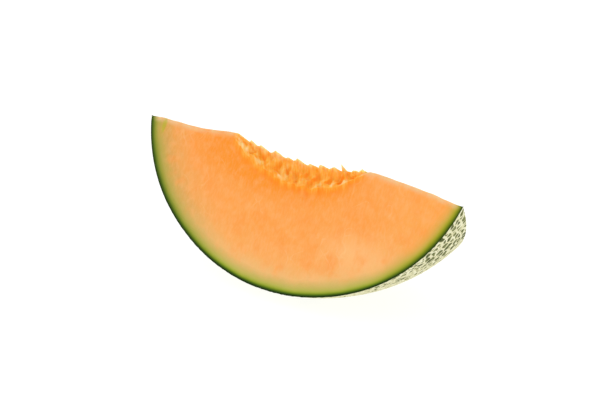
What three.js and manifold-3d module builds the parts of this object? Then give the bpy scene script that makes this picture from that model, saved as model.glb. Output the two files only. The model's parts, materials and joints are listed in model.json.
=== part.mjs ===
// A wedge of netted cantaloupe: about a sixth of the melon, cut lengthwise, seeds scooped out.
//
// Millimetres, +Z up. X runs along the melon's own axis, from stem end to blossom end. The wedge stands
// on its rind with the core edge on top, the flat front cut facing -Y and the back cut facing +Y.
// The origin is the middle of the bounding box in X and Y, on the surface that the wedge stands on.
//
// The melon is an ellipsoid of revolution. Two knife cuts meet along the core edge, a little off the
// melon's centre; a spoon has taken the seeds and some flesh out of the middle of that edge; and the
// rind is pressed flat on a small patch at its lowest point, where the wedge rests.

import * as THREE from 'three';
import { mergeVertices } from 'three/addons/utils/BufferGeometryUtils.js';
import Module from 'manifold-3d';

// --- Driving dimensions -----------------------------------------------------------------------------

const MELON_RADIUS = 70; // across the axis, over the crests of the net
const MELON_HALF_LENGTH = 84; // along the axis
const CORE_EDGE_DEPTH = 15.5; // how far the core edge lies below the melon's centre, at the wedge's tips
const CORE_EDGE_OFFSET = -4.5; // how far it lies in front (-Y) of the melon's centre
const FRONT_CUT_TILT = THREE.MathUtils.degToRad(25); // from straight down, towards -Y
const BACK_CUT_TILT = THREE.MathUtils.degToRad(34); // from straight down, towards +Y
const BACK_CUT_BOW = 3.2; // how far the back cut bows outwards at mid-length, where the knife turned
const FOOT_DEPTH = 0.3; // how much of the net is pressed flat where the wedge stands

// The scooped seed hollow is an ellipsoid too, measured from the core edge at mid-length.
const HOLLOW_HALF_LENGTH = 45;
const HOLLOW_RADIUS = 10.5;
const HOLLOW_FORWARD = 5.5; // its axis lies this far in front of the core edge
const HOLLOW_BELOW = 3; // and this far below it

const SEGMENTS_AROUND = 144;
const SEGMENTS_ALONG = 72;
const BOW_SEGMENTS = 24;

const WASTE_SIZE = 4 * MELON_HALF_LENGTH; // cutting blocks reach well past the melon

// The half-length of the core edge, where it comes out through the rind.
const EDGE_HALF_LENGTH =
  MELON_HALF_LENGTH * Math.sqrt(1 - (CORE_EDGE_DEPTH ** 2 + CORE_EDGE_OFFSET ** 2) / MELON_RADIUS ** 2);

// The back cut's bow raises the core edge along the front cut by this much at mid-length.
const EDGE_RISE = BACK_CUT_BOW / Math.sin(FRONT_CUT_TILT + BACK_CUT_TILT);

// --- Solids: three.js geometry in and out of manifold-3d --------------------------------------------

const wasm = await Module();
wasm.setup();

function toSolid(geometry) {
  const bare = geometry.clone();
  bare.deleteAttribute('normal');
  bare.deleteAttribute('uv');
  const merged = mergeVertices(bare, 1e-4);
  const mesh = new wasm.Mesh({
    numProp: 3,
    vertProperties: new Float32Array(merged.attributes.position.array),
    triVerts: new Uint32Array(merged.index.array),
  });
  return new wasm.Manifold(mesh);
}

function toGeometry(solid) {
  const mesh = solid.getMesh();
  const geometry = new THREE.BufferGeometry();
  geometry.setAttribute('position', new THREE.BufferAttribute(mesh.vertProperties, 3));
  geometry.setIndex(new THREE.BufferAttribute(mesh.triVerts, 1));
  geometry.computeVertexNormals();
  return geometry;
}

// --- The melon and what is taken away from it -------------------------------------------------------

// An ellipsoid whose axis and poles lie along X.
function ellipsoid(halfLength, radius, segmentsAround, segmentsAlong) {
  const geometry = new THREE.SphereGeometry(1, segmentsAround, segmentsAlong);
  geometry.rotateZ(Math.PI / 2);
  geometry.scale(halfLength, radius, radius);
  return geometry;
}

// The flesh beyond one knife cut. Its outline lies in the plane of X and the cut's outward normal, and
// its inner edge follows the cut, bowed outwards by `bow` at mid-length; it is extruded down the cut.
function wasteBeyondCut(outward, bow) {
  const half = WASTE_SIZE / 2;
  const outline = new THREE.Shape();
  outline.moveTo(-half, 0);
  outline.lineTo(-EDGE_HALF_LENGTH, 0);
  outline.quadraticCurveTo(0, 2 * bow, EDGE_HALF_LENGTH, 0);
  outline.lineTo(half, 0);
  outline.lineTo(half, half);
  outline.lineTo(-half, half);
  outline.closePath();
  const curveSegments = bow > 0 ? BOW_SEGMENTS : 1;
  const geometry = new THREE.ExtrudeGeometry(outline, { depth: WASTE_SIZE, bevelEnabled: false, curveSegments });
  geometry.translate(0, 0, -half);
  const alongAxis = new THREE.Vector3(1, 0, 0);
  const downCut = new THREE.Vector3().crossVectors(alongAxis, outward);
  geometry.applyMatrix4(new THREE.Matrix4().makeBasis(alongAxis, outward, downCut));
  geometry.translate(0, CORE_EDGE_OFFSET, -CORE_EDGE_DEPTH);
  return geometry;
}

function seedHollow() {
  const geometry = ellipsoid(HOLLOW_HALF_LENGTH, HOLLOW_RADIUS, SEGMENTS_AROUND / 2, SEGMENTS_ALONG);
  const edgeY = CORE_EDGE_OFFSET + EDGE_RISE * Math.sin(FRONT_CUT_TILT);
  const edgeZ = -CORE_EDGE_DEPTH + EDGE_RISE * Math.cos(FRONT_CUT_TILT);
  geometry.translate(0, edgeY - HOLLOW_FORWARD, edgeZ - HOLLOW_BELOW);
  return geometry;
}

function pressedFoot() {
  const geometry = new THREE.BoxGeometry(WASTE_SIZE, WASTE_SIZE, MELON_RADIUS);
  geometry.translate(0, 0, FOOT_DEPTH - 1.5 * MELON_RADIUS);
  return geometry;
}

function melonWedge() {
  const frontOutward = new THREE.Vector3(0, -Math.cos(FRONT_CUT_TILT), Math.sin(FRONT_CUT_TILT));
  const backOutward = new THREE.Vector3(0, Math.cos(BACK_CUT_TILT), Math.sin(BACK_CUT_TILT));
  const solid = toSolid(ellipsoid(MELON_HALF_LENGTH, MELON_RADIUS, SEGMENTS_AROUND, SEGMENTS_ALONG))
    .subtract(toSolid(wasteBeyondCut(frontOutward, 0)))
    .subtract(toSolid(wasteBeyondCut(backOutward, BACK_CUT_BOW)))
    .subtract(toSolid(seedHollow()))
    .subtract(toSolid(pressedFoot()));
  return toGeometry(solid);
}

// --- The part ---------------------------------------------------------------------------------------

const flesh = new THREE.MeshStandardMaterial({ color: 0xffa552, roughness: 0.38, metalness: 0 });

const wedge = new THREE.Mesh(melonWedge(), flesh);
wedge.name = 'melon_wedge';

// Stand the wedge on Z = 0 with its bounding box centred on the Z axis.
wedge.geometry.computeBoundingBox();
const box = wedge.geometry.boundingBox;
const middle = box.getCenter(new THREE.Vector3());
wedge.position.set(-middle.x, -middle.y, -box.min.z);

const part = new THREE.Group();
part.add(wedge);

export default part;
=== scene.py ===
"""Looks for one wedge of netted cantaloupe that stands on its rind.

The CAD wedge is a plain solid. Here one closed, fine mesh replaces it, with the raised net on its rind,
the torn strands of its seed hollow and the faint relief of its knife cuts, and it is dressed as melon.
Lengths are metres in the CAD frame: X along the melon's axis, Z up, the front cut facing -Y.
"""

import json
import logging
import math
from dataclasses import dataclass, field
from enum import Enum

import bmesh
import bpy
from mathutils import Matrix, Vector, noise


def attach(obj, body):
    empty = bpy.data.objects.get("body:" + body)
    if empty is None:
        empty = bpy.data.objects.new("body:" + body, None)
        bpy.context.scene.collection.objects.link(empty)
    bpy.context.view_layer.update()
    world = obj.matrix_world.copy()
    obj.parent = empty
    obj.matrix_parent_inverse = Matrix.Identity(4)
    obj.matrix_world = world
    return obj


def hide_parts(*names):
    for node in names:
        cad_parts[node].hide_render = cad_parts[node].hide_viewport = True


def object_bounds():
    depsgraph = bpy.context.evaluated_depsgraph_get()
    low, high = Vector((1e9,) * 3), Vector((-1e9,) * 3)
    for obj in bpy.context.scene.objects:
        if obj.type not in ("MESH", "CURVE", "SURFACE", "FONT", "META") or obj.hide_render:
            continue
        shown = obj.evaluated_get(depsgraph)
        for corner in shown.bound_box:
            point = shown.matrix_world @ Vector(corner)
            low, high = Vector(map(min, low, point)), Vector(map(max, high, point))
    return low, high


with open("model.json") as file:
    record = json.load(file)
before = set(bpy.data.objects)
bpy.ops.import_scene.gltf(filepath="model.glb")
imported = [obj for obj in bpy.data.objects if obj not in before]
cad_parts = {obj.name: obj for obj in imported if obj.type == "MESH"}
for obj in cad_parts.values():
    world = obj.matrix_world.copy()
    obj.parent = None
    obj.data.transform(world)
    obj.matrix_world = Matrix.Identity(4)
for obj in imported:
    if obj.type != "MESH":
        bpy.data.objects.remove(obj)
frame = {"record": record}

CAD_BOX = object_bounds()
MM = 0.001

# Vector noise starts from the clock unless it is given a seed.
NOISE_SEED = 5

LOG = logging.getLogger("melon")

Band = tuple[float, float]
Triple = tuple[float, float, float]
Colour = tuple[int, int, int]


class Span(Enum):
    """The four stretches of the wedge's outline, in order round a section across its axis."""

    FRONT_CUT = "front_cut"
    RIND = "rind"
    BACK_CUT = "back_cut"
    CORE = "core"


class Layer(Enum):
    """Vertex attributes that carry the mesh's relief, and the painted shade and highlight that follow it, to
    its finishes.
    """

    NET = "net_cord"
    PULP = "pulp_cover"
    # The pulp's place in its run of colours, with painted shade and highlight from the strands' relief.
    STRAND = "strand_height"
    # Where the painted highlight along the core edge's shoulders may show.
    EDGE_HIGHLIGHT = "painted_edge_highlight"
    FLARE = "rim_flare"


def clamp(value: float) -> float:
    """Return the value, held between 0 and 1."""
    return min(1.0, max(0.0, value))


def smoothstep(low: float, high: float, value: float) -> float:
    """Return 0 below low, 1 above high and a smooth rise between."""
    share = clamp((value - low) / (high - low))
    return share * share * (3.0 - 2.0 * share)


def mix(low: float, high: float, share: float) -> float:
    """Return the value that lies the given share of the way from low to high."""
    return low + (high - low) * share


@dataclass(frozen=True)
class Grain:
    """Smooth noise: its strength, its grain size each way, and a seed that keeps it apart from the rest."""

    strength: float
    sizes: tuple[float, ...]
    seed: float = 0.0

    def at(self, *place: float) -> float:
        """Return the noise at a place, from about minus its strength to its strength."""
        steps = [where / size for where, size in zip(place, self.sizes)]
        return self.strength * noise.noise(Vector((*steps, self.seed, 0.0)[:3]))


# --- The melon's form --------------------------------------------------------------------------------


@dataclass(frozen=True)
class Cut:
    """One knife cut, as unit directions in (Y, Z): down its face and out of the fruit."""

    down: Vector
    outward: Vector

    def reach(self, edge: Vector, radius: float) -> float:
        """Return how far down the cut the rind lies.

        Args:
            edge: where the cut starts, as (Y, Z) from the melon's axis.
            radius: radius of the round section.

        Returns:
            The distance from the edge to the circle, zero where the edge lies on or outside it.
        """
        along = edge.dot(self.down)
        inside = along * along - (edge.length_squared - radius * radius)
        return max(0.0, -along + math.sqrt(max(0.0, inside)))


@dataclass(frozen=True)
class Side:
    """One cut within a section: where its lip and its rim lie, as (Y, Z) from the melon's centre."""

    cut: Cut
    lip: Vector
    rim: Vector


@dataclass(frozen=True)
class Section:
    """The wedge in one plane across its axis.

    The radius is the round fruit's under its net, and a full cord stands out from it by the rise. The
    hollow's share grows from 0 at its ends to 1, and torn is how far its rim is torn up.
    """

    station: float
    edge: Vector
    radius: float
    rise: float
    front: Side
    back: Side
    hollow: float
    torn: float


@dataclass(frozen=True)
class MelonForm:
    """The whole melon, an ellipsoid about X, and the two knife cuts that free the wedge.

    The front cut's tilt, the melon's centre and the tips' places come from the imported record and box.
    """

    centre: Vector
    front_tilt: float
    tip: float
    radius: float = 70 * MM
    half_length: float = 84 * MM
    back_tilt: float = math.radians(34)
    edge_offset: float = -4.5 * MM
    edge_depth: float = 15.5 * MM
    shoulder_height: float = 3.3 * MM
    tip_run: float = 8 * MM
    left_climb: Band = (24 * MM, 50 * MM)
    left_lateness: float = 0.8
    right_ease: float = 14 * MM
    right_run: float = 56 * MM
    waver: Grain = Grain(0.22 * MM, (6 * MM,), 2.7)

    @classmethod
    def from_frame(cls, record: dict, box: tuple[Triple, Triple]) -> "MelonForm":
        """Read the melon's place from the frame.

        Args:
            record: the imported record, with the mounts named rest and front_cut.
            box: lowest and highest corners of the CAD wedge.

        Returns:
            The melon that the CAD wedge was cut from.
        """
        mounts = {mount["name"]: mount for mount in record["mounts"]}
        tilt = math.asin(mounts["front_cut"]["axis"][2])
        middle = mounts["rest"]["pos_m"]
        pressed = 0.3 * MM
        return cls(Vector((middle[0], middle[1], cls.radius - pressed)), tilt, box[1][0])

    @property
    def front_cut(self) -> Cut:
        """The cut that faces -Y."""
        sine, cosine = math.sin(self.front_tilt), math.cos(self.front_tilt)
        return Cut(Vector((-sine, -cosine)), Vector((-cosine, sine)))

    @property
    def back_cut(self) -> Cut:
        """The cut that faces +Y."""
        sine, cosine = math.sin(self.back_tilt), math.cos(self.back_tilt)
        return Cut(Vector((sine, -cosine)), Vector((cosine, sine)))

    def climb(self, station: float, inside: float) -> float:
        """Return how far the core edge has climbed to its shoulder: late on the left, evenly on the right.

        Args:
            station: place along X.
            inside: distance in from the nearer tip.

        Returns:
            The share of the shoulder's full height.
        """
        if station < 0:
            late = smoothstep(*self.left_climb, inside)
            return mix(smoothstep(0, self.tip_run, inside), late, self.left_lateness)
        sweep = min(1.0, inside / self.right_run) * math.pi / 2
        return math.sin(sweep) * smoothstep(0, self.right_ease, inside)

    def core_edge(self, station: float) -> Vector:
        """Return where the two cuts meet, on a line that climbs from each tip and wavers a little.

        Args:
            station: place along X.

        Returns:
            The edge's place, as (Y, Z) from the melon's centre.
        """
        inside = max(0.0, self.tip - abs(station))
        climb = self.climb(station, inside)
        wave = self.waver.at(station) * smoothstep(0, self.tip_run, inside)
        lift = self.shoulder_height * climb + wave - self.waver.strength * climb
        return Vector((self.edge_offset, -self.edge_depth)) - self.front_cut.down * lift

    def round_radius(self, station: float, inset: float) -> float:
        """Return the radius of the round section at a station, for a surface set in from the crests."""
        share = station / (self.half_length - inset)
        return (self.radius - inset) * math.sqrt(max(0.0, 1 - share * share))

    def lean_out(self, station: float) -> float:
        """Return how much of the rind's outward normal lies across the axis, from 0 to 1."""
        across = self.round_radius(station, 0.0) / self.radius**2
        return across / max(math.hypot(station / self.half_length**2, across), 1e-9)

    def along_rind(self, station: float) -> float:
        """Return the distance from the melon's waist to a station, measured along its rind."""
        return (self.half_length + self.radius) / 2 * math.asin(station / self.half_length)


# --- The rind's net ----------------------------------------------------------------------------------


@dataclass(frozen=True)
class RindNet:
    """The corky net on the rind: raised cords between small sunken cells.

    Cords follow the borders of random cells, which wander a little in two sizes of noise. Widths are in
    cells, and a pitch is how many grains of noise one cell holds.
    """

    height: float = 0.55 * MM
    cell: float = 2.6 * MM
    stretch: float = 1.4
    wander: float = 0.34
    wander_pitch: float = 0.45
    shiver: float = 0.3
    shiver_pitch: float = 1.9
    cord_share: float = 0.195
    cord_spread: float = 0.08
    spread_pitch: float = 0.8
    spread_seed: Triple = (7, 3, 1)
    shore: float = 0.06
    crown: float = 0.75
    crumb: Grain = Grain(0.16, (0.6 * MM, 0.6 * MM))

    def cord(self, along: float, round_way: float) -> float:
        """Return how deep inside a cord a place lies.

        Args:
            along: distance along the rind from the waist.
            round_way: distance round the rind from its lowest line.

        Returns:
            Depth in cells: 0 at a cord's side, below 0 in a cell.
        """
        pattern = Vector((along / self.stretch, round_way, 0.0)) / self.cell
        pattern += noise.noise_vector(pattern * self.wander_pitch) * self.wander
        pattern += noise.noise_vector(pattern * self.shiver_pitch) * self.wander * self.shiver
        distances, points = noise.voronoi(pattern)
        apart = (points[1] - points[0]).xy.length
        to_border = (distances[1] ** 2 - distances[0] ** 2) / (2 * apart)
        spread = noise.noise(pattern * self.spread_pitch + Vector(self.spread_seed))
        return self.cord_share + self.cord_spread * spread - to_border

    def relief(self, along: float, round_way: float, cord: float) -> float:
        """Return the net's height at a place, from 0 in a cell to 1 on a cord.

        Args:
            along: distance along the rind from the waist.
            round_way: distance round the rind from its lowest line.
            cord: how deep inside a cord the place lies, in cells.

        Returns:
            The share of the net's full height.
        """
        body = smoothstep(-self.shore, self.crown * self.cord_share, cord)
        crumbs = self.crumb.at(along, round_way) * body
        return clamp(body * (1 - self.crumb.strength) + crumbs)


# --- The seed hollow ---------------------------------------------------------------------------------


@dataclass(frozen=True)
class Scoop:
    """How deep the hollow reaches down one cut along X: most at its middle, nothing past its ends."""

    reach: float
    middle: float
    left: float
    right: float
    left_power: float
    right_power: float

    def share(self, station: float) -> float:
        """Return how deep the scoop is at a station.

        Args:
            station: place along X.

        Returns:
            The share of the full reach.
        """
        if station < self.middle:
            return 1 - min(1.0, (self.middle - station) / self.left) ** self.left_power
        return 1 - min(1.0, (station - self.middle) / self.right) ** self.right_power


@dataclass(frozen=True)
class Tooth:
    """One torn strand's end on the rim of the seed hollow: steepness is its left flank's share of it."""

    station: float
    height: float
    width: float
    steepness: float = 0.36

    def at(self, station: float) -> float:
        """Return how high the tooth is at a station.

        Args:
            station: place along X.

        Returns:
            Its height there, 0 past its foot.
        """
        gap = station - self.station
        run = self.width * (1 - self.steepness if gap > 0 else self.steepness)
        return self.height * max(0.0, 1 - abs(gap) / run)


TEETH = (
    Tooth(-28.8 * MM, 3.4 * MM, 5.5 * MM),
    Tooth(-24.4 * MM, 3.6 * MM, 7.4 * MM, 0.49),
    Tooth(-17.4 * MM, 4.2 * MM, 10.4 * MM, 0.42),
    Tooth(-11.6 * MM, 2.5 * MM, 6.2 * MM, 0.42),
    Tooth(-6.2 * MM, 3.6 * MM, 8.4 * MM, 0.48),
    Tooth(0.1 * MM, 2.0 * MM, 6.4 * MM, 0.45),
    Tooth(6.0 * MM, 2.7 * MM, 7.2 * MM),
    Tooth(13.6 * MM, 2.3 * MM, 7.0 * MM, 0.6),
    Tooth(19.1 * MM, 4.9 * MM, 2.8 * MM, 0.6),
    Tooth(24.5 * MM, 1.4 * MM, 6.0 * MM),
    Tooth(30.2 * MM, 2.4 * MM, 7.5 * MM, 0.5),
)


@dataclass(frozen=True)
class PulpColourAndPaintedShade:
    """How pale the torn pulp is: pale clouds above the lip and pale ends in its own colour, a painted
    highlight at its rim, painted shade in pits and paler where strands stand higher.

    Places across the hollow, and grain sizes across it, are shares of the way from its front lip to its
    back rim.
    """

    base: float = 0.44
    # A painted highlight at the torn rim, and pale clouds that are the pulp's own colour.
    rim_highlight_and_clouds: float = 0.3
    rim: float = 0.7
    rim_band: Band = (0.88, 1.0)
    cloud: Grain = Grain(1.0, (3.6 * MM, 1 / 2.0), 6.1)
    cloud_band: Band = (-0.2, 0.3)
    cloud_at_lip: float = 0.3
    cloud_start: Band = (0.0, 0.25)
    cloud_end: Band = (0.3, 0.7)
    # Painted shade: the colour deepens in pits between the lip and the rim.
    pit_depth: float = 0.3
    pit: Grain = Grain(1.0, (3.1 * MM, 1 / 2.4), 2.2)
    pit_band: Band = (0.0, 0.35)
    pit_start: Band = (0.1, 0.4)
    pit_end: Band = (0.6, 0.9)
    pale_end: float = 0.2
    end_band: Band = (22 * MM, 31 * MM)
    # Painted shade: paler where the strands stand higher, deeper where they sink.
    crest: float = 0.3

    def cloud_at(self, station: float, across: float) -> float:
        """Return how much of a pale cloud lies at a place in the hollow.

        Args:
            station: place along X.
            across: share of the way from the front lip to the back rim.

        Returns:
            The share of full paleness: less at the very lip, nothing near the rim.
        """
        inward = mix(self.cloud_at_lip, 1.0, smoothstep(*self.cloud_start, across))
        outer = 1 - smoothstep(*self.cloud_end, across)
        return smoothstep(*self.cloud_band, self.cloud.at(station, across)) * inward * outer

    def painted_pit_shade(self, station: float, across: float) -> float:
        """Return the painted shade that deepens the colour in a pit.

        Args:
            station: place along X.
            across: share of the way from the front lip to the back rim.

        Returns:
            What is taken off the paleness, nothing at the lip and the rim.
        """
        sunk = smoothstep(*self.pit_band, self.pit.at(station, across))
        middle = smoothstep(*self.pit_start, across) * (1 - smoothstep(*self.pit_end, across))
        return self.pit_depth * sunk * middle

    def at(self, station: float, across: float, raised: float) -> float:
        """Return how pale the pulp is at a place.

        Args:
            station: place along X.
            across: share of the way from the front lip to the back rim.
            raised: the strands' height there, in full strand heights.

        Returns:
            Where the pulp lies in its run of colours, from 0 to 1.
        """
        # Painted highlight along the torn rim.
        rim_highlight = self.rim * smoothstep(*self.rim_band, across)
        edges = self.rim_highlight_and_clouds * max(rim_highlight, self.cloud_at(station, across))
        ends = self.pale_end * smoothstep(*self.end_band, abs(station))
        # Painted shade: paler where the strands stand higher, deeper where they sink.
        return clamp(self.base + edges + ends - self.painted_pit_shade(station, across) + self.crest * raised)


@dataclass(frozen=True)
class SeedHollow:
    """The scooped hollow in the core edge, with the torn strands that held the seeds.

    A share across the hollow grows from 0 at its front lip to 1 at its back rim.
    """

    front: Scoop = Scoop(13.3 * MM, 4.5 * MM, 43 * MM, 30 * MM, 2.5, 1.7)
    back: Scoop = Scoop(9.7 * MM, -4 * MM, 30.4 * MM, 42 * MM, 4.2, 1.37)
    teeth: tuple[Tooth, ...] = TEETH
    # The pulp's colour, with painted shade and highlight.
    shade: PulpColourAndPaintedShade = PulpColourAndPaintedShade()
    round_off: float = 0.45 * MM
    lip_wave: Grain = Grain(0.13, (3.4 * MM,), 0.7)
    lip_fray: Grain = Grain(0.05, (1.1 * MM,), 3.1)
    rim_fray: Grain = Grain(0.5 * MM, (1.1 * MM,), 8.3)
    torn_from: Band = (0.0, 0.15)
    cover_from: Band = (0.0, 0.3)
    sag: float = 1.5 * MM
    sag_width: float = 12 * MM
    lean: float = 0.77
    bend: Grain = Grain(2.2 * MM, (4.5 * MM, 1 / 2.3), 5.0)
    strand_height: float = 2.6 * MM
    strand_width: float = 6 * MM
    softness: float = 0.62
    kept_crest: float = 0.2
    crest: Grain = Grain(0.7, (3 * MM, 1 / 3.1))
    lump: Grain = Grain(1.5 * MM, (2.6 * MM, 3 * MM), 1.4)
    pit_depth: float = 1.2 * MM
    pit: Grain = Grain(1.0, (2.8 * MM, 1 / 2.6), 9.2)
    pit_band: Band = (0.05, 0.4)
    fibre: Grain = Grain(0.25 * MM, (0.75 * MM, 3 * MM), 7.7)
    lip_ease: Band = (0.0, 0.22)
    rim_ease: Band = (0.0, 0.12)

    def tooth(self, station: float) -> float:
        """Return the height of the torn rim at a station."""
        return max(tooth.at(station) for tooth in self.teeth)

    def front_lip(self, station: float) -> float:
        """Return how far down the front cut the hollow's lip lies."""
        ragged = 1 + self.lip_wave.at(station) + self.lip_fray.at(station)
        return self.round_off + self.front.reach * self.front.share(station) * ragged

    def torn(self, station: float) -> float:
        """Return how far the torn rim stands above the smooth scoop in the back cut.

        Args:
            station: place along X.

        Returns:
            The height up the back cut, never past the core edge.
        """
        share = self.back.share(station)
        ragged = self.tooth(station) + self.rim_fray.at(station)
        return min(self.back.reach * share, max(0.0, ragged) * smoothstep(*self.torn_from, share))

    def back_lip(self, station: float) -> float:
        """Return how far down the back cut the hollow's torn rim lies."""
        return self.round_off + self.back.reach * self.back.share(station) - self.torn(station)

    def cover(self, station: float) -> float:
        """Return how far a station lies inside the hollow, from 0 at its ends to 1."""
        return smoothstep(*self.cover_from, self.front.share(station))

    def line(self, station: float, across: float, width: float) -> float:
        """Return where along the torn rim the strand through a place ends.

        Args:
            station: place along X.
            across: share of the way from the front lip to the back rim.
            width: distance between the lip and the rim.

        Returns:
            The station at which the strand meets the rim.
        """
        bend = self.bend.at(station, across) * (1 - across)
        return station - self.lean * (1 - across) * width + bend

    def strand(self, station: float, across: float, width: float) -> float:
        """Return the strands' height in the hollow, in metres above the pits.

        Args:
            station: place along X.
            across: share of the way from the front lip to the back rim.
            width: distance between the lip and the rim.

        Returns:
            The height of the torn pulp over the smooth floor.
        """
        line = self.line(station, across, width)
        off_rim = 1 - across**4
        crest = self.tooth(line) * mix(1.0, self.kept_crest + self.crest.at(line, across), off_rim)
        lump = self.lump.at(line, across * width) * off_rim
        sunk = self.pit_depth * smoothstep(*self.pit_band, self.pit.at(line, across)) * off_rim
        return crest + lump + self.fibre.at(line, across * width) - sunk

    def lift(self, across: float, width: float, height: float) -> float:
        """Return how far the strands stand up in a section wholly inside the hollow.

        Args:
            across: share of the way from the front lip to the back rim.
            width: distance between the lip and the rim.
            height: the strands' full height at the place.

        Returns:
            Their height there, less at the lip and where the hollow is narrow.
        """
        room = min(1.0, width / self.strand_width)
        return self.softness * height * smoothstep(*self.lip_ease, across) * room


# --- The wedge ---------------------------------------------------------------------------------------


@dataclass(frozen=True)
class Rows:
    """How many quads each span of the outline gets, and how many rows each side of the lip soften it."""

    front: int = 26
    rind: int = 138
    back: int = 24
    core: int = 38
    stations: int = 434
    below_lip: int = 5
    above_lip: int = 6

    @property
    def around(self) -> int:
        """Quads round one section."""
        return self.front + self.rind + self.back + self.core

    def find(self, place: Vector) -> tuple[int, int]:
        """Return the ring and the row of a vertex of the unit sphere, whose rows lie on half steps."""
        ring = round(math.acos(max(-1.0, min(1.0, place.z))) / math.pi * self.stations)
        return ring, math.floor(math.atan2(place.y, place.x) / (2 * math.pi) * self.around) % self.around

    def locate(self, row: int) -> tuple[Span, float]:
        """Return the span that a row lies in.

        Args:
            row: the row's number, counted from the front lip down and round.

        Returns:
            The span and the row's share of the way along it.
        """
        for span, count in zip(Span, (self.front, self.rind, self.back, self.core)):
            if row < count:
                return span, row / count
            row -= count
        raise ValueError("row past the last span")

    def near_lip(self, row: int) -> bool:
        """Tell whether a row lies beside the front lip."""
        return row < self.below_lip or row >= self.around - self.above_lip


@dataclass(frozen=True)
class Spot:
    """One place on the wedge's outline and what its finish has to know of it."""

    place: Vector
    net: float = 0.0
    pulp: float = 0.0
    # Place in the pulp's run of colours, with painted shade and highlight from the strands.
    strand: float = 0.5
    # Where the painted highlight along the core edge may show.
    edge_highlight: float = 0.0


@dataclass(frozen=True)
class CutFace:
    """The slight unevenness that a knife leaves on moist flesh, and the cut's colour beside the hollow, with
    painted shade from the strands and a painted highlight along the core edge.
    """

    relief: float = 0.12 * MM
    rough_relief: float = 0.5 * MM
    sunk: float = 0.6
    rough_sunk: float = 0.5
    wave: Grain = Grain(0.5, (7 * MM, 7 * MM, 7 * MM))
    nap: Grain = Grain(1.0, (1.6 * MM, 3.2 * MM), 3.3)
    nap_share: float = 0.2
    edge: Band = (0.0, 0.06)
    rough_run: float = 5.0 * MM
    shade_run: float = 2.6 * MM
    lip_shade: float = 0.44
    flesh_shade: float = 0.2
    # Painted shade: the cut beside the lip is paler where the strands there stand higher.
    strand_share: float = 0.25
    # Width of the painted highlight along the core edge's shoulders.
    edge_highlight_run: Band = (0.56 * MM, 2.8 * MM)

    def drag(self, station: float, flat: Vector, rough: float) -> float:
        """Return how far the knife's drag sinks the flesh under the flat cut.

        Args:
            station: place along X.
            flat: the place on the flat cut, as (Y, Z) from the melon's centre.
            rough: how torn the flesh is there, from 0 to 1.

        Returns:
            The depth.
        """
        nap = self.nap.at(station, flat.y)
        smooth = self.sunk + self.wave.at(station, flat.x, flat.y) + self.nap_share * nap
        return self.relief * smooth + self.rough_relief * rough * (self.rough_sunk + nap)

    def shade(self, from_lip: float, raised: float) -> float:
        """Return the cut's place in the pulp's run of colours, with painted shade from the strands' height at
        the lip.

        Args:
            from_lip: distance down the cut from its lip.
            raised: the strands' height at the lip, in full strand heights.

        Returns:
            The place, from 0, deep, to 1, pale.
        """
        beside = smoothstep(0.0, self.shade_run, from_lip)
        return clamp(mix(self.lip_shade, self.flesh_shade, beside) + self.strand_share * raised)


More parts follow.
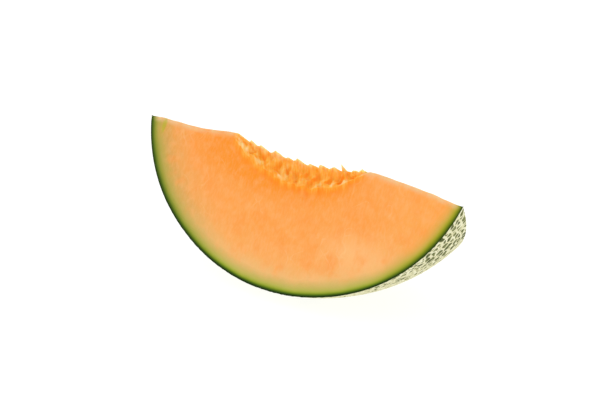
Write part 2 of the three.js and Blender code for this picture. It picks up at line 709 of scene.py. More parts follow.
@dataclass
class MelonWedge:
    """The wedge itself: one closed mesh, a sphere whose poles become the wedge's tips."""

    form: MelonForm
    net: RindNet = field(default_factory=RindNet)
    hollow: SeedHollow = field(default_factory=SeedHollow)
    face: CutFace = field(default_factory=CutFace)
    rows: Rows = field(default_factory=Rows)
    taper_run: float = 3 * MM
    lip_limit: float = 0.3
    rim_fill: float = 0.8
    rim_band: float = 1.4 * MM
    flare: float = 1.0 * MM
    flare_band: float = 6.0 * MM
    flare_taper: float = 1.0 * MM
    left_flare: Band = (45 * MM, 81 * MM)
    right_flare: Band = (25 * MM, 75 * MM)
    lip_passes: int = 5
    lip_factor: float = 0.5
    lip_cover: float = 0.2
    least_width: float = 0.01 * MM

    def station(self, share: float) -> float:
        """Return the place along X of a ring, given its share from -1 to 1, evenly along the rind."""
        widest = math.asin(self.form.tip / self.form.half_length)
        return self.form.half_length * math.sin(share * widest)

    def taper(self, station: float) -> float:
        """Return how much of the relief is kept near the tips, where the sections shrink to a point."""
        return smoothstep(0.0, self.taper_run, self.form.tip - abs(station))

    def flare_at(self, station: float) -> float:
        """Return how far the front rim stands proud of the round fruit.

        Args:
            station: place along X.

        Returns:
            The distance: most near the tips, nothing at the middle and at the very tips.
        """
        kept = smoothstep(0.0, self.flare_taper, self.form.tip - abs(station))
        band = self.left_flare if station < 0 else self.right_flare
        return self.flare * kept * smoothstep(*band, abs(station))

    def side(self, station: float, edge: Vector, cut: Cut, lip: float, proud: float = 0.0) -> Side:
        """Work out one cut in a section.

        Args:
            station: place along X.
            edge: where the cuts meet, as (Y, Z) from the melon's centre.
            cut: the cut's directions.
            lip: how far down the cut its face starts.
            proud: how far the rim stands out beyond the round fruit.

        Returns:
            The cut's lip and its rim with the net's own height there.
        """
        base = self.form.round_radius(station, self.net.height)
        flat = edge + cut.down * cut.reach(edge, base)
        relief = self.net_at(station, math.atan2(flat.x, -flat.y))[1]
        raised = base + self.rise(station) * mix(relief, 1.0, self.rim_fill) + proud
        reach = cut.reach(edge, raised)
        return Side(cut, edge + cut.down * min(lip, self.lip_limit * reach), edge + cut.down * reach)

    def rise(self, station: float) -> float:
        """Return how far a full cord stands out across the axis."""
        return self.net.height * self.form.lean_out(station) * self.taper(station)

    def net_at(self, station: float, angle: float) -> tuple[float, float]:
        """Return the net at a place on the rind.

        Args:
            station: place along X.
            angle: angle round the melon's axis from its lowest line.

        Returns:
            How deep inside a cord the place lies, in cells, and the net's height there, from 0 to 1.
        """
        along = self.form.along_rind(station)
        round_way = self.form.round_radius(station, 0.0) * angle
        cord = self.net.cord(along, round_way)
        return cord, self.net.relief(along, round_way, cord)

    def section(self, station: float) -> Section:
        """Work out the wedge's outline in one plane across its axis.

        Args:
            station: place along X.

        Returns:
            The section's edge, both its cuts and its share of the hollow.
        """
        edge = self.form.core_edge(station)
        proud = self.flare_at(station)
        front = self.side(station, edge, self.form.front_cut, self.hollow.front_lip(station), proud)
        back = self.side(station, edge, self.form.back_cut, self.hollow.back_lip(station))
        radius = self.form.round_radius(station, self.net.height)
        cover, torn = self.hollow.cover(station), self.hollow.torn(station)
        return Section(station, edge, radius, self.rise(station), front, back, cover, torn)

    def cut_spot(self, section: Section, side: Side, share: float) -> Spot:
        """Return a spot of a knife cut.

        Args:
            section: the section it lies in.
            side: the cut.
            share: share of the way from the lip down to the rind, before easing.

        Returns:
            The spot, sunk a little by the knife's drag and rougher beside the hollow.
        """
        eased = (1 - math.cos(math.pi * share)) / 2
        flat = side.lip.lerp(side.rim, eased)
        from_lip = (flat - side.lip).length
        rough = section.hollow * (1 - smoothstep(0.0, self.face.rough_run, from_lip))
        drag = self.face.drag(section.station, flat, rough)
        off_edges = smoothstep(*self.face.edge, eased) * smoothstep(*self.face.edge, 1 - eased)
        width = (side.lip - section.back.lip).length
        raised = self.hollow.strand(section.station, 0.0, width) / self.hollow.strand_height
        # Painted highlight: a pale band along the core edge, away from the hollow.
        edge_highlight = (1 - section.hollow) * (1 - smoothstep(*self.face.edge_highlight_run, (flat - section.edge).length))
        place = flat - side.cut.outward * drag * off_edges
        return Spot(place, pulp=rough, strand=self.face.shade(from_lip, raised), edge_highlight=edge_highlight)

    def rind_spot(self, section: Section, share: float) -> Spot:
        """Return a spot of the rind.

        Args:
            section: the section it lies in.
            share: share of the way round from the front rim to the back rim.

        Returns:
            The spot, on the net or in one of its cells.
        """
        front, back = section.front.rim, section.back.rim
        start, end = math.atan2(front.x, -front.y), math.atan2(back.x, -back.y)
        angle = mix(start, end, share)
        cord, relief = self.net_at(section.station, angle)
        off_flare = smoothstep(0, self.flare_band, (angle - start) * front.length)
        proud = self.flare_at(section.station) * (1 - off_flare)
        radius = section.radius + section.rise * relief + proud
        near_front = 1 - smoothstep(0.0, self.rim_band, (angle - start) * radius)
        near_back = 1 - smoothstep(0.0, self.rim_band, (end - angle) * radius)
        radius = mix(mix(radius, front.length, near_front), back.length, near_back)
        return Spot(Vector((radius * math.sin(angle), -radius * math.cos(angle))), net=cord)

    def core_spot(self, section: Section, share: float) -> Spot:
        """Return a spot of the core edge or of the seed hollow in it.

        The smooth floor is a sagging curve from the back cut to the front lip. The strands lift it along
        its outward way, which turns up the back cut towards the torn rim.

        Args:
            section: the section it lies in.
            share: share of the way from the back rim to the front lip.

        Returns:
            The spot, with the height of the torn strands there.
        """
        hollow, down = self.hollow, section.back.cut.down
        back, front = section.back.lip, section.front.lip
        root = back + down * section.torn
        width = (front - root).length
        outward = Vector((front.y - root.y, root.x - front.x)) / max(width, self.least_width)
        floor = (front + back) / 2 - outward * 2 * hollow.sag * min(1.0, width / hollow.sag_width)
        control = section.edge.lerp(floor, section.hollow)
        flat = root * (1 - share) ** 2 + control * 2 * share * (1 - share) + front * share**2
        height = hollow.strand(section.station, 1 - share, width)
        inner = hollow.lift(1 - share, width, height) * section.hollow
        way = outward.lerp(-down, (1 - share) ** 2)
        place = flat + way * mix(section.torn, inner, smoothstep(*hollow.rim_ease, share))
        # The pulp's colour, with painted shade from the strands' height and a painted highlight at the rim.
        shade = hollow.shade.at(section.station, 1 - share, height / hollow.strand_height)
        # The painted edge highlight may show wherever the hollow ends.
        return Spot(place, pulp=section.hollow, strand=shade, edge_highlight=1 - section.hollow)

    def spot(self, section: Section, span: Span, share: float) -> Spot:
        """Return a spot of the wedge's outline.

        Args:
            section: the section it lies in.
            span: the span of the outline.
            share: share of the way along the span.

        Returns:
            The spot on that span.
        """
        if span is Span.FRONT_CUT:
            return self.cut_spot(section, section.front, share)
        if span is Span.RIND:
            return self.rind_spot(section, share)
        if span is Span.BACK_CUT:
            return self.cut_spot(section, section.back, 1 - share)
        return self.core_spot(section, share)

    def flare_of(self, section: Section, span: Span) -> float:
        """Return how far the rim's flare moves the round fruit outwards, on the spans that it touches."""
        touched = span in (Span.FRONT_CUT, Span.RIND)
        return self.flare_at(section.station) * self.form.lean_out(section.station) if touched else 0.0

    def build(self) -> bpy.types.Object:
        """Shape and smooth the wedge's mesh.

        Returns:
            The wedge as an object at the origin, its place in its mesh.
        """
        wedge = bmesh.new()
        bmesh.ops.create_uvsphere(
            wedge, u_segments=self.rows.around, v_segments=self.rows.stations, radius=1.0
        )
        layers = {layer: wedge.verts.layers.float.new(layer.value) for layer in Layer}
        rings = range(self.rows.stations + 1)
        sections = [self.section(self.station(1 - 2 * ring / self.rows.stations)) for ring in rings]
        lip: list[bmesh.types.BMVert] = []
        spans: dict[bmesh.types.BMVert, Span] = {}
        for vert in wedge.verts:
            ring, row = self.rows.find(vert.co)
            section = sections[ring]
            spans[vert], share = self.rows.locate(row)
            spot = self.spot(section, spans[vert], share)
            vert.co = self.form.centre + Vector((section.station, spot.place.x, spot.place.y))
            flare = self.flare_of(section, spans[vert])
            for layer, value in zip(Layer, (spot.net, spot.pulp, spot.strand, spot.edge_highlight, flare)):
                vert[layers[layer]] = value
            if section.hollow > self.lip_cover and self.rows.near_lip(row):
                lip.append(vert)
        self.settle(wedge, lip)
        self.mark(wedge, spans)
        return self.as_object(wedge)

    def settle(self, wedge: bmesh.types.BMesh, lip: list[bmesh.types.BMVert]) -> None:
        """Soften the hollow's front lip across the axis, and press the rind flat where it rests.

        Args:
            wedge: the shaped mesh.
            lip: the vertices beside the lip.
        """
        for _ in range(self.lip_passes):
            bmesh.ops.smooth_vert(wedge, verts=lip, factor=self.lip_factor, use_axis_y=True, use_axis_z=True)
        for vert in wedge.verts:
            vert.co.z = max(vert.co.z, 0.0)

    def mark(self, wedge: bmesh.types.BMesh, spans: dict[bmesh.types.BMVert, Span]) -> None:
        """Give the rind its own material, keep its rims sharp and turn every face outwards.

        Args:
            wedge: the shaped mesh.
            spans: the span that each vertex lies in.
        """
        for face in wedge.faces:
            face.smooth = True
            face.material_index = int(self.is_rind(face, spans))
        for edge in wedge.edges:
            edge.smooth = len({face.material_index for face in edge.link_faces}) < 2
        bmesh.ops.recalc_face_normals(wedge, faces=wedge.faces)

    def is_rind(self, face: bmesh.types.BMFace, spans: dict[bmesh.types.BMVert, Span]) -> bool:
        """Tell whether a face lies on the rind, whose last row of corners opens the back cut.

        Args:
            face: the face.
            spans: the span that each vertex lies in.

        Returns:
            True where no corner lies on the front cut or the core, and at least two lie on the rind.
        """
        kinds = [spans[vert] for vert in face.verts]
        others = kinds.count(Span.FRONT_CUT) + kinds.count(Span.CORE)
        return others == 0 and kinds.count(Span.RIND) >= 2

    def as_object(self, wedge: bmesh.types.BMesh) -> bpy.types.Object:
        """Turn the finished mesh into an object.

        Args:
            wedge: the finished mesh, which is freed.

        Returns:
            The object, at the origin.
        """
        mesh = bpy.data.meshes.new("melon_wedge_looks")
        wedge.to_mesh(mesh)
        wedge.free()
        piece = bpy.data.objects.new("melon_wedge_looks", mesh)
        bpy.context.collection.objects.link(piece)
        return piece


# --- Finishes ----------------------------------------------------------------------------------------

STUDIO_LEVEL = 1.12


def linear(level: float) -> float:
    """Return the linear light of a display level, both from 0 to 1."""
    return level / 12.92 if level <= 0.04045 else ((level + 0.055) / 1.055) ** 2.4


def display(red: int, green: int, blue: int) -> tuple[float, float, float, float]:
    """Return the surface colour that shows as a display colour, each from 0 to 255, in the studio."""
    return (*(linear(level / 255) / STUDIO_LEVEL for level in (red, green, blue)), 1.0)


class Nodes:
    """A short way to lay out one material's nodes."""

    def __init__(self, name: str) -> None:
        """Start a material with an empty node tree.

        Args:
            name: the material's name.
        """
        self.material = bpy.data.materials.new(name)
        self.material.use_nodes = True
        self.tree = self.material.node_tree
        self.tree.nodes.clear()

    def add(self, kind: str, **properties: object) -> bpy.types.Node:
        """Add a node.

        Args:
            kind: the node's type, without its leading ShaderNode.
            properties: what to set on it.

        Returns:
            The node.
        """
        node = self.tree.nodes.new("ShaderNode" + kind)
        for name, value in properties.items():
            setattr(node, name, value)
        return node

    def feed(self, socket: bpy.types.NodeSocket, value: object) -> None:
        """Join an output to an input, or set the input.

        Args:
            socket: the input.
            value: an output, or a number, vector or colour.
        """
        if isinstance(value, bpy.types.NodeSocket):
            self.tree.links.new(value, socket)
        else:
            socket.default_value = value

    def calculate(self, operation: str, *values: object) -> bpy.types.NodeSocket:
        """Add a maths node.

        Args:
            operation: what it works out.
            values: sockets or numbers.

        Returns:
            Its result.
        """
        node = self.add("Math", operation=operation)
        for socket, value in zip(node.inputs, values):
            self.feed(socket, value)
        return node.outputs[0]

    def vector(self, operation: str, *values: object) -> bpy.types.Node:
        """Add a vector maths node.

        Args:
            operation: what it works out.
            values: sockets or vectors.

        Returns:
            The node, whose result is a vector or a value.
        """
        node = self.add("VectorMath", operation=operation)
        for socket, value in zip(node.inputs, values):
            self.feed(socket, value)
        return node

    def blend(self, share: object, low: object, high: object) -> bpy.types.NodeSocket:
        """Add a colour mix.

        Args:
            share: how much of the second colour shows, as a socket or a number.
            low: the first colour.
            high: the second colour.

        Returns:
            The mixed colour.
        """
        node = self.add("Mix", data_type="RGBA")
        colour_inputs = [socket for socket in node.inputs if socket.type == "RGBA"]
        for socket, value in zip((node.inputs["Factor"], *colour_inputs), (share, low, high)):
            self.feed(socket, value)
        return next(socket for socket in node.outputs if socket.type == "RGBA")

    def attribute(self, layer: Layer) -> bpy.types.NodeSocket:
        """Return a vertex attribute's value."""
        return self.add("Attribute", attribute_name=layer.value).outputs["Fac"]

    def place(self) -> bpy.types.NodeSocket:
        """Return Object coordinates."""
        return self.add("TexCoord").outputs["Object"]

    def grain(
        self, size: float, detail: float = 3.0, squeeze: Triple = (1, 1, 1), source: object = None
    ) -> bpy.types.NodeSocket:
        """Return noise from 0 to 1.

        Args:
            size: grain size in metres.
            detail: how many finer layers are added.
            squeeze: factors on X, Y and Z, below 1 where the grain is drawn out.
            source: the coordinates it is laid on, or nothing for Object coordinates.

        Returns:
            The noise's value.
        """
        node = self.add("TexNoise")
        self.feed(node.inputs["Scale"], 1 / size)
        self.feed(node.inputs["Detail"], detail)
        self.feed(node.inputs["Vector"], self.vector("MULTIPLY", source or self.place(), squeeze).outputs[0])
        return node.outputs["Fac"]

    def between(self, value: object, low: float, high: float, top: float = 1.0) -> bpy.types.NodeSocket:
        """Add a smooth rise.

        Args:
            value: what it follows.
            low: the value at which it is 0.
            high: the value at which it is at its top.
            top: its highest result.

        Returns:
            The result.
        """
        node = self.add("MapRange", interpolation_type="SMOOTHSTEP")
        for name, number in (("Value", value), ("From Min", low), ("From Max", high), ("To Max", top)):
            self.feed(node.inputs[name], number)
        return node.outputs["Result"]

    def ramp(self, value: bpy.types.NodeSocket, stops: tuple) -> bpy.types.NodeSocket:
        """Return the colour that a value picks from a ramp.

        Args:
            value: what picks the colour, from 0 to 1.
            stops: pairs of a position and a display colour.

        Returns:
            The picked colour.
        """
        node = self.add("ValToRGB")
        ramp = node.color_ramp
        while len(ramp.elements) < len(stops):
            ramp.elements.new(0.5)
        for element, (position, colour) in zip(ramp.elements, stops):
            element.position = position
            element.color = display(*colour)
        self.feed(node.inputs[0], value)
        return node.outputs["Color"]

    def bump(self, height: bpy.types.NodeSocket, strength: float, distance: float) -> bpy.types.NodeSocket:
        """Add a bump.

        Args:
            height: the surface's fine height, from 0 to 1.
            strength: how much of it shows.
            distance: its full height in metres.

        Returns:
            The bumped normal.
        """
        node = self.add("Bump")
        for name, value in (("Strength", strength), ("Distance", distance), ("Height", height)):
            self.feed(node.inputs[name], value)
        return node.outputs["Normal"]

    def finish(self, **inputs: object) -> bpy.types.Material:
        """Add the surface's shader and return the material.

        Args:
            inputs: the shader's inputs by name, with _ for each space.

        Returns:
            The finished material.
        """
        shader = self.add("BsdfPrincipled")
        for name, value in inputs.items():
            self.feed(shader.inputs[name.replace("_", " ")], value)
        self.feed(self.add("OutputMaterial").inputs["Surface"], shader.outputs["BSDF"])
        return self.material


@dataclass(frozen=True)
class Surface:
    """How a finish takes light: its roughness and how that changes, its shine and its fine relief."""

    roughness: float
    change: float
    change_grain: float
    shine: float
    relief: float
    relief_grain: float
    relief_strength: float
    squeeze: Triple = (1, 1, 1)
    detail: float = 4.0

    def inputs(self, nodes: Nodes) -> dict[str, object]:
        """Lay out the nodes of the roughness and the relief.

        Args:
            nodes: the material's nodes.

        Returns:
            The shader's inputs by name, with _ for each space.
        """
        change = nodes.grain(self.change_grain)
        relief = nodes.grain(self.relief_grain, self.detail, self.squeeze)
        return {
            "Roughness": nodes.calculate("MULTIPLY_ADD", change, self.change, self.roughness),
            "Specular_IOR_Level": self.shine,
            "Normal": nodes.bump(relief, self.relief_strength, self.relief),
        }


# Display colours of the cut face at depths in millimetres below the crests of the net.
SKIN_STOPS = (
    (0.0, (22, 42, 0)),
    (0.65, (28, 54, 0)),
)
LEFT_STOPS = (
    (1.5, (72, 96, 14)),
    (2.2, (112, 128, 36)),
    (3.2, (152, 152, 54)),
    (4.8, (185, 167, 78)),
    (7.6, (209, 167, 84)),
    (9.5, (218, 165, 86)),
    (13.5, (238, 166, 86)),
    (21.0, (252, 164, 84)),
)
LOW_STOPS = (
    (1.1, (70, 98, 6)),
    (1.55, (118, 140, 28)),
    (1.95, (150, 162, 48)),
    (2.4, (170, 174, 66)),
    (3.0, (188, 180, 84)),
    (4.0, (202, 181, 96)),
    (5.2, (218, 183, 106)),
    (7.2, (241, 187, 117)),
    (12.5, (251, 173, 94)),
    (22.0, (253, 164, 78)),
)
RIGHT_STOPS = (
    (1.4, (84, 104, 4)),
    (2.4, (148, 152, 28)),
    (3.3, (188, 168, 54)),
    (4.4, (213, 172, 76)),
    (5.7, (234, 171, 78)),
    (8.6, (253, 168, 78)),
    (22.0, (254, 170, 82)),
)


@dataclass(frozen=True)
class Patch:
    """A soft patch of colour: its middle from the melon's centre, its half-axes and where it fades.

    The fade runs over distances in half-axes, 1 at the ellipsoid that they make.
    """

    centre: Triple
    size: Triple
    colour: Colour
    strength: float
    fade: Band


@dataclass(frozen=True)
class Mottle:
    """Cloudy spots of one colour all through the flesh: squeeze is below 1 where they are drawn out."""

    grain: float
    detail: float
    colour: Colour
    strength: float
    band: Band
    squeeze: Triple = (1, 1, 1)


@dataclass(frozen=True)
class Veins:
    """Fine pale lines along the contours of a noise, shown in parts."""

    colour: Colour = (255, 208, 150)
    strength: float = 0.22
    contour: float = 11 * MM
    contour_detail: float = 1.5
    half_width: Band = (0.002, 0.012)
    part: float = 9 * MM
    part_detail: float = 0.0
    part_band: Band = (0.52, 0.62)
    depth_band: Band = (8 * MM, 16 * MM)

    def share(self, nodes: Nodes, depth: bpy.types.NodeSocket) -> bpy.types.NodeSocket:
        """Return how much of the veins' colour shows.

        Args:
            nodes: the material's nodes.
            depth: depth below the crests of the net.

        Returns:
            The share, from 0 to the veins' strength.
        """
        noise_value = nodes.grain(self.contour, self.contour_detail)
        contour = nodes.calculate("ABSOLUTE", nodes.calculate("SUBTRACT", noise_value, 0.5))
        line = nodes.calculate("SUBTRACT", 1.0, nodes.between(contour, *self.half_width))
        part = nodes.between(nodes.grain(self.part, self.part_detail), *self.part_band)
        shown = nodes.calculate("MULTIPLY", line, part)
        return nodes.calculate("MULTIPLY", shown, nodes.between(depth, *self.depth_band, self.strength))


@dataclass(frozen=True)
class PaintedEdgeHighlight:
    """Painted highlight: a pale, patchy band along the core edge's shoulders, where light shines through and
    off the thin edge.
    """

    colour: Colour = (238, 200, 148)
    strength: float = 0.8
    depth_band: Band = (1 * MM, 5 * MM)
    grain: float = 6 * MM
    detail: float = 4.0
    band: Band = (0.35, 0.6)
    least: float = 0.45

    def share(self, nodes: Nodes, depth: bpy.types.NodeSocket) -> bpy.types.NodeSocket:
        """Return how much of the painted highlight's colour shows.

        Args:
            nodes: the material's nodes.
            depth: depth below the crests of the net.

        Returns:
            The share, from 0 to the painted highlight's strength.
        """
        off_skin = nodes.between(depth, *self.depth_band, self.strength)
        edge_highlight = nodes.calculate("MULTIPLY", nodes.attribute(Layer.EDGE_HIGHLIGHT), off_skin)
        cloud = nodes.between(nodes.grain(self.grain, self.detail), *self.band, 1 - self.least)
        return nodes.calculate("MULTIPLY", edge_highlight, nodes.calculate("ADD", self.least, cloud))


@dataclass(frozen=True)
class FleshFinish:
    """Moist orange flesh that fades through tan and green to the dark skin under the net."""

    form: MelonForm
    fade_depth: float = 24 * MM
    skin: float = 0.75 * MM
    uneven: float = 0.5
    uneven_grain: float = 9 * MM
    left_reach: Band = (0.2, 0.85)
    right_reach: Band = (0.5, 0.9)
    inner: Band = (3 * MM, 10 * MM)
    ripe: Patch = Patch(
        (-12 * MM, -6.5 * MM, -18 * MM), (38 * MM, 13 * MM, 13 * MM), (252, 146, 26), 0.85, (0.7, 1.5)
    )
    peach: Patch = Patch(
        (39 * MM, -17.5 * MM, -43 * MM), (19 * MM, 9 * MM, 9 * MM), (254, 192, 126), 0.8, (0.0, 1.4)
    )
    mottles: tuple[Mottle, ...] = (
        Mottle(3.4 * MM, 5.0, (255, 184, 116), 0.35, (0.42, 0.75)),
        Mottle(8.0 * MM, 5.0, (253, 152, 60), 0.5, (0.45, 0.75)),
        Mottle(0.8 * MM, 3.0, (255, 214, 160), 0.13, (0.35, 0.75), (1, 0.4, 0.4)),
    )
    veins: Veins = Veins()
    # Painted highlight along the core edge's shoulders.
    edge_highlight: PaintedEdgeHighlight = PaintedEdgeHighlight()
    streak_station: float = -73.2 * MM
    streak_down: float = 3.2 * MM
    streak_size: Triple = (1.2 * MM, 3.2 * MM, 3.2 * MM)
    streak_fade: Band = (0.9, 1.7)
    streak_ragged: float = 0.8
    streak_strength: float = 0.65
    streak_colour: Colour = (184, 180, 46)
    thread: float = 1.0 * MM
    thread_slant: float = 0.86
    thread_length: Triple = (0, 0.3, 0.3)
    thread_depth: float = 0.9
    pulp_cover: float = 0.9
    pulp_stops: tuple = (
        (0.0, (255, 130, 8)),
        (0.3, (255, 152, 30)),
        (0.55, (255, 176, 66)),
        (0.75, (255, 198, 110)),
        (1.0, (255, 222, 160)),
    )
    glow: float = 0.35
    pulp_glow: float = 0.6
    glow_depth: Band = (1.5 * MM, 6 * MM)
    glow_radius: Triple = (1.0, 0.45, 0.2)
    glow_scale: float = 1.8 * MM
    surface: Surface = Surface(0.38, 0.25, 2 * MM, 0.08, 0.15 * MM, 0.7 * MM, 0.35, (1, 0.5, 0.5))

    def offset(self, nodes: Nodes, centre: Triple) -> bpy.types.NodeSocket:
        """Return the vector to a place from a point given from the melon's centre."""
        point = self.form.centre + Vector(centre)
        return nodes.vector("SUBTRACT", nodes.place(), point).outputs[0]

    def stretched(self, nodes: Nodes, offset: bpy.types.NodeSocket, size: Triple) -> bpy.types.NodeSocket:
        """Return an offset's length in half-axes of an ellipsoid: 1 on its surface."""
        scaled = nodes.vector("DIVIDE", offset, size).outputs[0]
        return nodes.vector("LENGTH", scaled).outputs["Value"]

    def depth(self, nodes: Nodes) -> bpy.types.NodeSocket:
        """Return the depth below the crests of the net, or below the flared rim.

        Args:
            nodes: the material's nodes.

        Returns:
            The depth in metres.
        """
        offset = self.offset(nodes, (0, 0, 0))
        axes = (self.form.half_length, self.form.radius, self.form.radius)
        beyond = nodes.calculate("DIVIDE", 1.0, self.stretched(nodes, offset, axes))
        beyond = nodes.calculate("SUBTRACT", beyond, 1.0)
        reach = nodes.vector("LENGTH", offset).outputs["Value"]
        return nodes.calculate("MULTIPLY_ADD", reach, beyond, nodes.attribute(Layer.FLARE))

    def spread(self, nodes: Nodes, depth: bpy.types.NodeSocket) -> bpy.types.NodeSocket:
        """Return the depth below the net with the bands of colour under the skin made uneven.

        Args:
            nodes: the material's nodes.
            depth: depth below the crests of the net.

        Returns:
            The share of the whole fade's depth.
        """
        noise_value = nodes.grain(self.uneven_grain)
        width = nodes.calculate("MULTIPLY_ADD", noise_value, self.uneven, 1 - self.uneven / 2)
        below = nodes.calculate("MAXIMUM", nodes.calculate("SUBTRACT", depth, self.skin), 0.0)
        in_skin = nodes.calculate("MINIMUM", depth, self.skin)
        spread = nodes.calculate("ADD", in_skin, nodes.calculate("DIVIDE", below, width))
        return nodes.calculate("DIVIDE", spread, self.fade_depth)

    def fade(self, nodes: Nodes, depth: bpy.types.NodeSocket) -> bpy.types.NodeSocket:
        """Return the colour at a depth: the green and tan are broad on the left and thin on the right.

        Args:
            nodes: the material's nodes.
            depth: depth below the crests of the net.

        Returns:
            The colour before mottles and veins.
        """
        share = self.spread(nodes, depth)
        left, low, right = (
            nodes.ramp(share, tuple((at * MM / self.fade_depth, colour) for at, colour in SKIN_STOPS + stops))
            for stops in (LEFT_STOPS, LOW_STOPS, RIGHT_STOPS)
        )
        along = nodes.add("SeparateXYZ")
        nodes.feed(along.inputs[0], nodes.place())
        run = along.outputs["X"]
        on_left = nodes.between(run, *(-reach * self.form.tip for reach in self.left_reach))
        on_right = nodes.between(run, *(reach * self.form.tip for reach in self.right_reach))
        return nodes.blend(on_right, nodes.blend(on_left, low, left), right)

    def patch(
        self, nodes: Nodes, colour: bpy.types.NodeSocket, patch: Patch, within: object = 1.0
    ) -> bpy.types.NodeSocket:
        """Lay a soft patch over a colour.

        Args:
            nodes: the material's nodes.
            colour: the colour under it.
            patch: the patch.
            within: how much of it may show, as a socket or a number.

        Returns:
            The colour with the patch.
        """
        length = self.stretched(nodes, self.offset(nodes, patch.centre), patch.size)
        faded = nodes.between(length, *patch.fade, patch.strength)
        shown = nodes.calculate("MULTIPLY", nodes.calculate("SUBTRACT", patch.strength, faded), within)
        return nodes.blend(shown, colour, display(*patch.colour))

    def mottle(
        self, nodes: Nodes, colour: bpy.types.NodeSocket, mottle: Mottle, within: bpy.types.NodeSocket
    ) -> bpy.types.NodeSocket:
        """Lay mottles over a colour.

        Args:
            nodes: the material's nodes.
            colour: the colour under them.
            mottle: the mottles.
            within: how much of them may show.

        Returns:
            The mottled colour.
        """
        cloud = nodes.grain(mottle.grain, mottle.detail, mottle.squeeze)
        shown = nodes.calculate("MULTIPLY", nodes.between(cloud, *mottle.band, mottle.strength), within)
        return nodes.blend(shown, colour, display(*mottle.colour))

    def streak(self, nodes: Nodes, colour: bpy.types.NodeSocket) -> bpy.types.NodeSocket:
        """Lay a short yellow-green streak beside the left tip.

        Args:
            nodes: the material's nodes.
            colour: the colour under it.

        Returns:
            The colour with the streak.
        """
        spot = self.form.core_edge(self.streak_station) + self.form.front_cut.down * self.streak_down
        offset = self.offset(nodes, (self.streak_station, spot.x, spot.y))
        length = self.stretched(nodes, offset, self.streak_size)
        ragged = nodes.calculate("MULTIPLY", nodes.grain(self.streak_size[0]), self.streak_ragged)
        reach = nodes.calculate("ADD", length, ragged)
        faded = nodes.between(reach, *self.streak_fade, self.streak_strength)
        shown = nodes.calculate("SUBTRACT", self.streak_strength, faded)
        return nodes.blend(shown, colour, display(*self.streak_colour))

    def pulp(self, nodes: Nodes, flesh: bpy.types.NodeSocket) -> bpy.types.NodeSocket:
        """Lay the torn strands' colours over the flesh.

        Args:
            nodes: the material's nodes.
            flesh: the colour of the plain flesh.

        Returns:
            The flesh with pale strands and deep orange pits in and beside the hollow, partly the pulp's own
            colour and partly painted shade and highlight from the strands' relief.
        """
        place = nodes.place()
        across = nodes.vector("DOT_PRODUCT", place, (1, self.thread_slant, 0)).outputs["Value"]
        combed = nodes.add("CombineXYZ")
        nodes.feed(combed.inputs["X"], across)
        drawn_out = nodes.vector("MULTIPLY", place, self.thread_length).outputs[0]
        source = nodes.vector("ADD", drawn_out, combed.outputs[0]).outputs[0]
        threads = nodes.grain(self.thread, source=source)
        fibre = nodes.calculate("MULTIPLY_ADD", threads, self.thread_depth, -self.thread_depth / 2)
        # The strand attribute is the pulp's place in its run of colours, with painted shade and highlight
        # from the strands' relief.
        height = nodes.calculate("ADD", nodes.attribute(Layer.STRAND), fibre)
        cover = nodes.calculate("MULTIPLY", nodes.attribute(Layer.PULP), self.pulp_cover)
        return nodes.blend(cover, flesh, nodes.ramp(height, self.pulp_stops))

    def colour(self, nodes: Nodes, depth: bpy.types.NodeSocket) -> bpy.types.NodeSocket:
        """Return the flesh's whole colour.

        Args:
            nodes: the material's nodes.
            depth: depth below the crests of the net.

        Returns:
            The fade with its patches, mottles, veins, painted edge highlight and pulp.
        """
        inside = nodes.between(depth, *self.inner)
        colour = self.patch(nodes, self.fade(nodes, depth), self.ripe)
        colour = self.patch(nodes, colour, self.peach, inside)
        for mottle in self.mottles:
            colour = self.mottle(nodes, colour, mottle, inside)
        # The veins are the flesh's own colour; the edge highlight is painted light.
        for marks in (self.veins, self.edge_highlight):
            colour = nodes.blend(marks.share(nodes, depth), colour, display(*marks.colour))
        return self.pulp(nodes, self.streak(nodes, colour))

    def material(self) -> bpy.types.Material:
        """Build the flesh's material.

        Returns:
            The material, whose light sinks in more where the pulp is torn.
        """
        nodes = Nodes("melon_flesh")
        depth = self.depth(nodes)
        glow = nodes.calculate("MULTIPLY_ADD", nodes.attribute(Layer.PULP), self.pulp_glow, self.glow)
        return nodes.finish(
            Base_Color=self.colour(nodes, depth),
            Subsurface_Weight=nodes.calculate("MULTIPLY", glow, nodes.between(depth, *self.glow_depth)),
            Subsurface_Radius=self.glow_radius,
            Subsurface_Scale=self.glow_scale,
            **self.surface.inputs(nodes),
        )


@dataclass(frozen=True)
class RindFinish:
    """Dry cream cork on the net over dark grey-green skin."""

    cork: Colour = (228, 224, 180)
    pale_cork: Colour = (248, 246, 216)
    cork_grain: float = 2.4 * MM
    cork_detail: float = 4.0
    cork_band: Band = (0.3, 0.7)
    cord_side: Colour = (216, 211, 162)
    side_band: Band = (0.0, 0.12)
    skin: Colour = (74, 84, 36)
    pale_skin: Colour = (142, 146, 92)
    skin_grain: float = 2.2 * MM
    skin_detail: float = 6.0
    skin_band: Band = (0.35, 0.68)
    shore_band: Band = (-0.03, 0.03)
    surface: Surface = Surface(0.65, 0.2, 1.2 * MM, 0.15, 0.1 * MM, 0.5 * MM, 0.5)

    def colour(self, nodes: Nodes) -> bpy.types.NodeSocket:
        """Return the rind's colour.

        Args:
            nodes: the material's nodes.

        Returns:
            Cork inside the cords, duller on their sides, and skin in the cells.
        """
        cord = nodes.attribute(Layer.NET)
        cork_cloud = nodes.between(nodes.grain(self.cork_grain, self.cork_detail), *self.cork_band)
        cork = nodes.blend(cork_cloud, display(*self.cork), display(*self.pale_cork))
        cork = nodes.blend(nodes.between(cord, *self.side_band), display(*self.cord_side), cork)
        skin_cloud = nodes.between(nodes.grain(self.skin_grain, self.skin_detail), *self.skin_band)
        skin = nodes.blend(skin_cloud, display(*self.skin), display(*self.pale_skin))
        return nodes.blend(nodes.between(cord, *self.shore_band), skin, cork)

    def material(self) -> bpy.types.Material:
        """Build the rind's material.

        Returns:
            The material, dry and finely rough.
        """
        nodes = Nodes("melon_rind")
        return nodes.finish(Base_Color=self.colour(nodes), **self.surface.inputs(nodes))


# --- The studio --------------------------------------------------------------------------------------


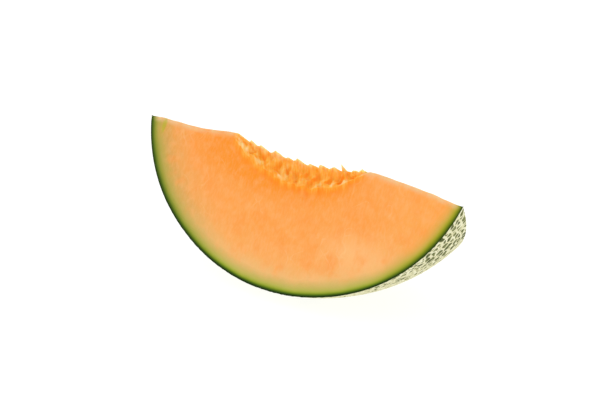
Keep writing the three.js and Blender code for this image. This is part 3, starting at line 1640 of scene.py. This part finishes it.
@dataclass(frozen=True)
class Studio:
    """A glowing white floor, soft light from all round and the camera."""

    target: Vector
    azimuth: float = math.radians(40.79)
    elevation: float = math.radians(20.75)
    distance: float = 1.2
    lens: float = 176.7
    sensor: float = 36.0
    clip: Band = (0.05, 50.0)
    aim_right: float = -0.97 * MM
    aim_up: float = 3.83 * MM
    floor_half: float = 6.0
    floor_colour: tuple = (0.24, 0.24, 0.22, 1)
    glow_colour: tuple = (1, 1, 0.98, 1)
    floor_glow: float = 0.86
    floor_roughness: float = 0.7
    floor_shine: float = 0.1
    surround_colour: tuple = (1, 1, 1, 1)
    surround: float = 1.0
    key: float = 0.35
    key_width: float = math.radians(40)
    key_way: Triple = (0.05, 0.6, -0.8)

    def camera(self) -> bpy.types.Object:
        """Place the camera in front, to the right of the wedge's middle, looking down on it.

        Returns:
            The camera.
        """
        sine, cosine, flat = math.sin(self.azimuth), math.cos(self.azimuth), math.cos(self.elevation)
        back = Vector((sine * flat, -cosine * flat, math.sin(self.elevation)))
        right = Vector((cosine, sine, 0))
        lens = bpy.data.cameras.new("camera")
        lens.lens = self.lens
        lens.sensor_width = self.sensor
        lens.clip_start, lens.clip_end = self.clip
        camera = bpy.data.objects.new("camera", lens)
        bpy.context.collection.objects.link(camera)
        aim = self.target + right * self.aim_right + back.cross(right) * self.aim_up
        camera.rotation_mode = "QUATERNION"
        camera.location = aim + back * self.distance
        camera.rotation_quaternion = (-back).to_track_quat("-Z", "Y")
        bpy.context.scene.camera = camera
        return camera

    def floor(self) -> bpy.types.Object:
        """Lay a wide white floor that glows, so that shadows on it stay faint.

        Returns:
            The floor.
        """
        sheet = bmesh.new()
        bmesh.ops.create_grid(sheet, x_segments=1, y_segments=1, size=self.floor_half)
        mesh = bpy.data.meshes.new("floor")
        sheet.to_mesh(mesh)
        sheet.free()
        white = Nodes("floor_white").finish(
            Base_Color=self.floor_colour,
            Roughness=self.floor_roughness,
            Specular_IOR_Level=self.floor_shine,
            Emission_Color=self.glow_colour,
            Emission_Strength=self.floor_glow,
        )
        mesh.materials.append(white)
        floor = bpy.data.objects.new("floor", mesh)
        bpy.context.collection.objects.link(floor)
        return floor

    def light(self) -> bpy.types.Object:
        """Light the set with an even white surround and one soft lamp high on the left.

        Returns:
            The lamp.
        """
        world = bpy.data.worlds.new("surround")
        world.use_nodes = True
        background = world.node_tree.nodes["Background"]
        background.inputs["Color"].default_value = self.surround_colour
        background.inputs["Strength"].default_value = self.surround
        bpy.context.scene.world = world
        sun = bpy.data.lights.new("soft_key", "SUN")
        sun.energy = self.key
        sun.angle = self.key_width
        lamp = bpy.data.objects.new("soft_key", sun)
        bpy.context.collection.objects.link(lamp)
        lamp.rotation_mode = "QUATERNION"
        lamp.rotation_quaternion = Vector(self.key_way).to_track_quat("-Z", "Y")
        return lamp


def main() -> None:
    """Build the wedge and its studio."""
    logging.basicConfig(level=logging.INFO, format="%(name)s: %(message)s")
    noise.seed_set(NOISE_SEED)
    form = MelonForm.from_frame(frame["record"], CAD_BOX)
    piece = MelonWedge(form).build()
    piece.data.materials.append(FleshFinish(form).material())
    piece.data.materials.append(RindFinish().material())
    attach(piece, "root")
    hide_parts("melon_wedge")
    LOG.info("%s: %d vertices, %d faces", piece.name, len(piece.data.vertices), len(piece.data.polygons))

    target_share = 0.45
    drop = mix(form.edge_depth, form.radius, target_share)
    studio = Studio(form.centre - Vector((0, 0, drop)))
    for stage_item in (studio.floor(), studio.light(), studio.camera()):
        LOG.info("%s: in place", stage_item.name)
    bpy.context.scene.view_settings.view_transform = "Standard"


if __name__ == "__main__":
    main()
